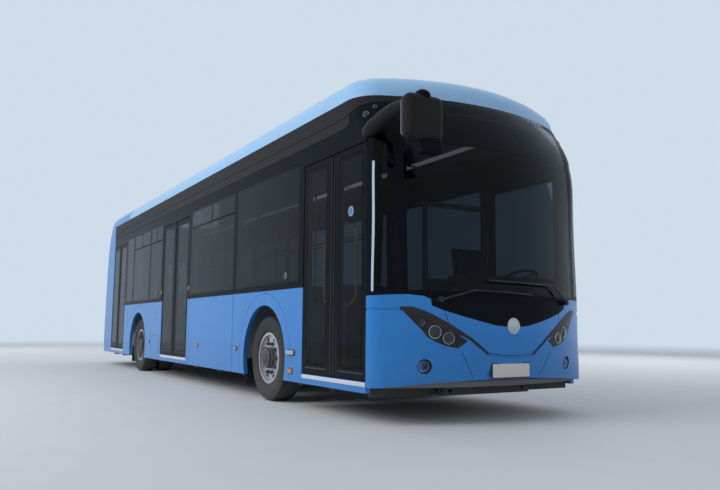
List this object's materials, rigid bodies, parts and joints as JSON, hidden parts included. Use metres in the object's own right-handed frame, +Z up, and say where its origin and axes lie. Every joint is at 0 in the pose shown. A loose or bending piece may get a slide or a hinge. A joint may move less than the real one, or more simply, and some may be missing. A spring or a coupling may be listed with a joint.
{
  "type": "low-floor city bus",
  "caption": "Low-floor single-deck city bus with doors along one side, a large curved windscreen and a hollow cabin.",
  "frame": {"origin": "on the ground under the centre of the vehicle's bounding box", "axes": "+Z up, the front of the vehicle looks to -Y, +X is the driver's side and -X the door side"},
  "size_m": [2.67, 12.3098, 3.2599],
  "materials": {
    "body_paint": "gloss",
    "roof_paint": "gloss",
    "black_paint": "gloss",
    "tinted_glass": "clear",
    "steel_frame": "satin",
    "floor_cover": "matt",
    "wheel_paint": "satin",
    "tyre_rubber": "matt",
    "black_rubber": "matt",
    "lamp_lens": "clear",
    "red_lens": "gloss",
    "mirror_housing": "matt",
    "seat_shell": "satin",
    "grey_plastic": "satin",
    "yellow_rail": "gloss",
    "white_panel": "satin"
  },
  "bodies": {
    "bus_body": {"dashboard": "grey_plastic", "door_gear": "grey_plastic", "door_sills": "body_paint", "drive_motor": "steel_frame", "driver_cab": "grey_plastic", "driver_seat": "grey_plastic", "floor": "floor_cover", "front_axle": "steel_frame", "front_bumper": "body_paint", "front_frame": "black_paint", "front_lamps": "lamp_lens", "front_mask": "body_paint", "handrails": "yellow_rail", "mirrors": "mirror_housing", "mud_flaps": "black_rubber", "rear_axle": "steel_frame", "rear_bumper": "body_paint", "rear_wall": "body_paint", "roof": "white_panel", "roof_fairing": "roof_paint", "roof_tail_cap": "body_paint", "roof_units": "white_panel", "seats": "seat_shell", "side_wall_left": "black_paint", "side_wall_right": "black_paint", "skirt_panels_left": "body_paint", "skirt_panels_right": "body_paint", "tail_lamps": "red_lens", "tow_beam": "steel_frame", "underframe": "steel_frame", "wheel_boxes": "grey_plastic", "window_glass": "tinted_glass", "windshield": "tinted_glass", "wipers": "mirror_housing"},
    "knuckle_left": {"knuckle_left": "steel_frame"},
    "front_wheel_left": {"rim_front_left": "wheel_paint", "tyre_front_left": "tyre_rubber"},
    "rear_wheels_left": {"rims_rear_left": "wheel_paint", "tyres_rear_left": "tyre_rubber"},
    "knuckle_right": {"knuckle_right": "steel_frame"},
    "front_wheel_right": {"rim_front_right": "wheel_paint", "tyre_front_right": "tyre_rubber"},
    "rear_wheels_right": {"rims_rear_right": "wheel_paint", "tyres_rear_right": "tyre_rubber"},
    "door_front_a": {"door_front_leaf_a": "black_paint", "door_front_glass_a": "tinted_glass"},
    "door_front_b": {"door_front_leaf_b": "black_paint", "door_front_glass_b": "tinted_glass"},
    "door_middle_a": {"door_middle_leaf_a": "black_paint", "door_middle_glass_a": "tinted_glass"},
    "door_middle_b": {"door_middle_leaf_b": "black_paint", "door_middle_glass_b": "tinted_glass"},
    "door_rear_a": {"door_rear_leaf_a": "black_paint", "door_rear_glass_a": "tinted_glass"},
    "door_rear_b": {"door_rear_leaf_b": "black_paint", "door_rear_glass_b": "tinted_glass"},
    "rear_hatch": {"rear_hatch": "body_paint"}
  },
  "joints": [
    {"name": "steer_left", "type": "hinge", "parent": "bus_body", "child": "knuckle_left", "pos_m": [0.905, -3.145, 0.48], "axis": [0, 0, 1], "range_deg": [-45, 45]},
    {"name": "front_wheel_spin_left", "type": "hinge", "parent": "knuckle_left", "child": "front_wheel_left", "pos_m": [1.0875, -3.145, 0.48], "axis": [1, 0, 0], "continuous": true},
    {"name": "rear_wheels_spin_left", "type": "hinge", "parent": "bus_body", "child": "rear_wheels_left", "pos_m": [0.9315, 2.855, 0.48], "axis": [1, 0, 0], "continuous": true},
    {"name": "steer_right", "type": "hinge", "parent": "bus_body", "child": "knuckle_right", "pos_m": [-0.905, -3.145, 0.48], "axis": [0, 0, 1], "range_deg": [-45, 45]},
    {"name": "front_wheel_spin_right", "type": "hinge", "parent": "knuckle_right", "child": "front_wheel_right", "pos_m": [-1.0875, -3.145, 0.48], "axis": [1, 0, 0], "continuous": true},
    {"name": "rear_wheels_spin_right", "type": "hinge", "parent": "bus_body", "child": "rear_wheels_right", "pos_m": [-0.9315, 2.855, 0.48], "axis": [1, 0, 0], "continuous": true},
    {"name": "door_front_a_swing", "type": "hinge", "parent": "bus_body", "child": "door_front_a", "pos_m": [-1.208, -5.368, 1.437], "axis": [0, 0, -1], "range_deg": [0, 90]},
    {"name": "door_front_b_swing", "type": "hinge", "parent": "bus_body", "child": "door_front_b", "pos_m": [-1.208, -4.202, 1.437], "axis": [0, 0, 1], "range_deg": [0, 90]},
    {"name": "door_middle_a_swing", "type": "hinge", "parent": "bus_body", "child": "door_middle_a", "pos_m": [-1.208, -0.163, 1.437], "axis": [0, 0, -1], "range_deg": [0, 90]},
    {"name": "door_middle_b_swing", "type": "hinge", "parent": "bus_body", "child": "door_middle_b", "pos_m": [-1.208, 1.178, 1.437], "axis": [0, 0, 1], "range_deg": [0, 90]},
    {"name": "door_rear_a_swing", "type": "hinge", "parent": "bus_body", "child": "door_rear_a", "pos_m": [-1.208, 4.052, 1.437], "axis": [0, 0, -1], "range_deg": [0, 90]},
    {"name": "door_rear_b_swing", "type": "hinge", "parent": "bus_body", "child": "door_rear_b", "pos_m": [-1.208, 5.138, 1.437], "axis": [0, 0, 1], "range_deg": [0, 90]},
    {"name": "rear_hatch_swing", "type": "hinge", "parent": "bus_body", "child": "rear_hatch", "pos_m": [0, 6.145, 1.29], "axis": [1, 0, 0], "range_deg": [0, 80]}
  ],
  "couplings": [
    {"joint": "steer_right", "follows": "steer_left", "ratio": 1},
    {"joint": "door_front_b_swing", "follows": "door_front_a_swing", "ratio": 1},
    {"joint": "door_middle_b_swing", "follows": "door_middle_a_swing", "ratio": 1},
    {"joint": "door_rear_b_swing", "follows": "door_rear_a_swing", "ratio": 1}
  ]
}
